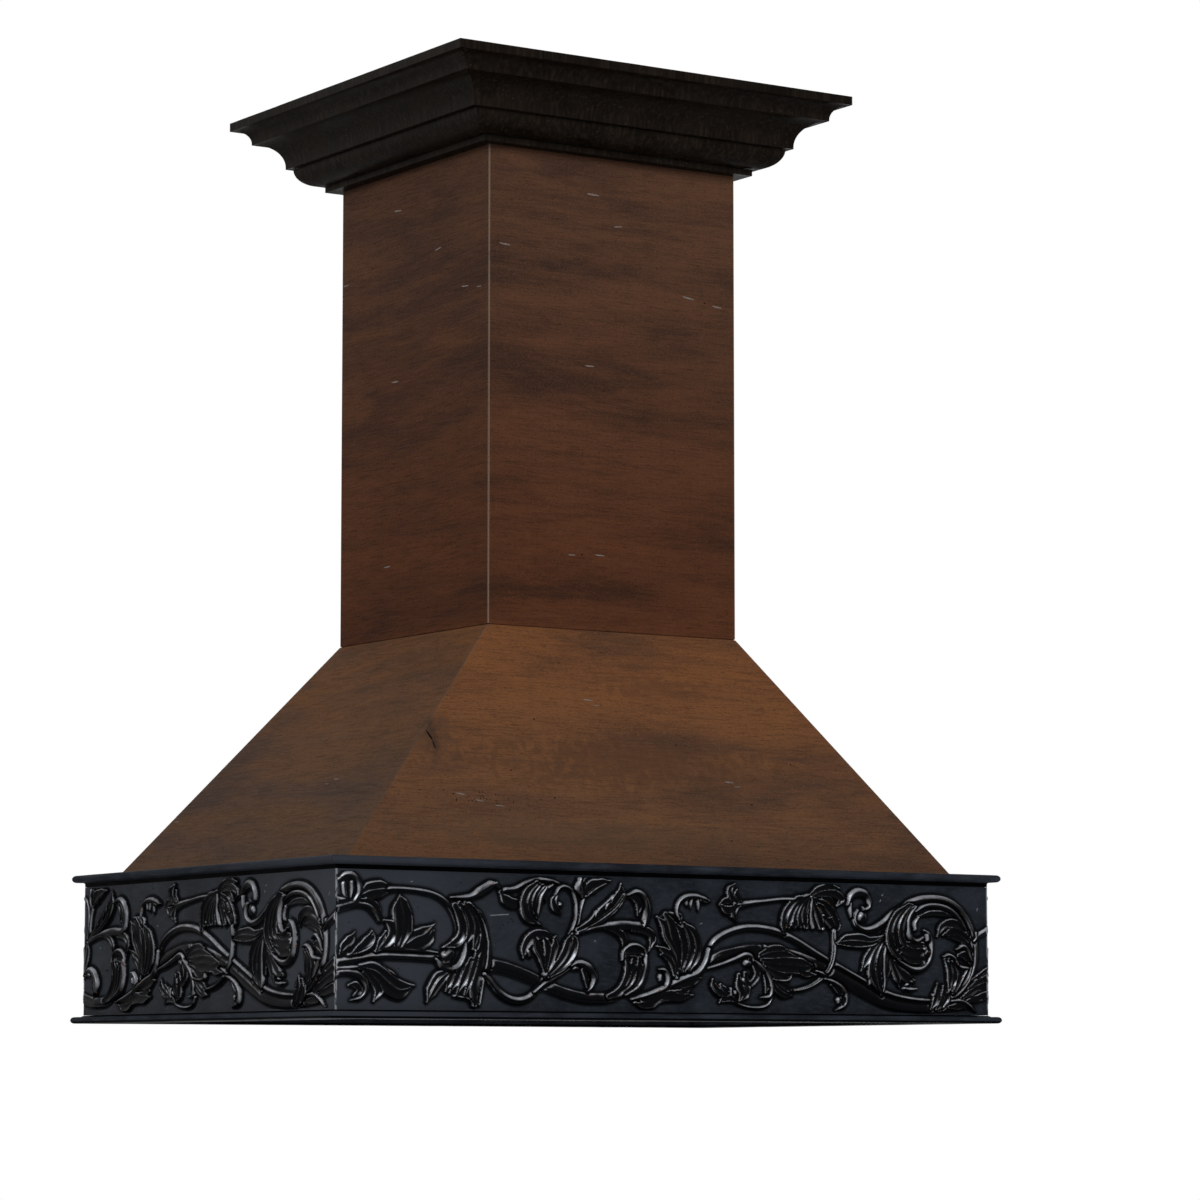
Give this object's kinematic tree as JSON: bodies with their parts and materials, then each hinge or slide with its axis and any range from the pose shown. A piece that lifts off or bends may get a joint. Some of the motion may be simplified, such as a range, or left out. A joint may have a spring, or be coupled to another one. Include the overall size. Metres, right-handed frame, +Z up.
{
  "type": "wooden range hood cover",
  "caption": "Island range hood cover in dark stained wood: carved scroll apron with round-nosed rails, tapered canopy, square chimney and a cove crown, open below for a liner.",
  "frame": {"origin": "centre of the footprint, on the plane of the bottom rails' undersides", "axes": "+Z up to the ceiling, -Y towards the long side that the picture shows, +X to that side's right"},
  "size_m": [0.924, 0.6286, 1.114],
  "materials": {
    "carved_black": "satin black paint, rubbed through on high points of the carving",
    "crown_black": "satin black-brown paint",
    "canopy_walnut": "satin walnut stain, distressed",
    "chimney_walnut": "satin walnut stain, distressed",
    "raw_wood": "planed, unfinished",
    "zinc_steel": "zinc plated"
  },
  "bodies": {
    "root": {"bottom_rail_front": "carved_black", "bottom_rail_right": "carved_black", "bottom_rail_back": "carved_black", "bottom_rail_left": "carved_black", "carved_board_front": "carved_black", "carved_board_right": "carved_black", "carved_board_back": "carved_black", "carved_board_left": "carved_black", "top_rail_front": "carved_black", "top_rail_right": "carved_black", "top_rail_back": "carved_black", "top_rail_left": "carved_black", "corner_block_front_left": "raw_wood", "corner_block_front_right": "raw_wood", "corner_block_back_right": "raw_wood", "corner_block_back_left": "raw_wood", "canopy_panel_front": "canopy_walnut", "canopy_panel_right": "canopy_walnut", "canopy_panel_back": "canopy_walnut", "canopy_panel_left": "canopy_walnut", "hip_batten_front_left": "raw_wood", "hip_batten_front_right": "raw_wood", "hip_batten_back_right": "raw_wood", "hip_batten_back_left": "raw_wood", "neck_rail_front": "raw_wood", "neck_rail_right": "raw_wood", "neck_rail_back": "raw_wood", "neck_rail_left": "raw_wood", "neck_screw_front_left": "zinc_steel", "neck_screw_front_right": "zinc_steel", "neck_screw_back_right": "zinc_steel", "neck_screw_back_left": "zinc_steel", "chimney_board_front": "chimney_walnut", "chimney_board_right": "chimney_walnut", "chimney_board_back": "chimney_walnut", "chimney_board_left": "chimney_walnut", "chimney_post_front_left": "raw_wood", "chimney_post_front_right": "raw_wood", "chimney_post_back_right": "raw_wood", "chimney_post_back_left": "raw_wood", "ceiling_rail_front": "raw_wood", "ceiling_rail_right": "raw_wood", "ceiling_rail_back": "raw_wood", "ceiling_rail_left": "raw_wood", "ceiling_screw_front_left": "zinc_steel", "ceiling_screw_front_right": "zinc_steel", "ceiling_screw_back_right": "zinc_steel", "ceiling_screw_back_left": "zinc_steel", "crown_cornice_front": "crown_black", "crown_cornice_right": "crown_black", "crown_cornice_back": "crown_black", "crown_cornice_left": "crown_black", "crown_bed_front": "crown_black", "crown_bed_right": "crown_black", "crown_bed_back": "crown_black", "crown_bed_left": "crown_black", "crown_strip_front": "crown_black", "crown_strip_right": "crown_black", "crown_strip_back": "crown_black", "crown_strip_left": "crown_black"}
  },
  "joints": []
}
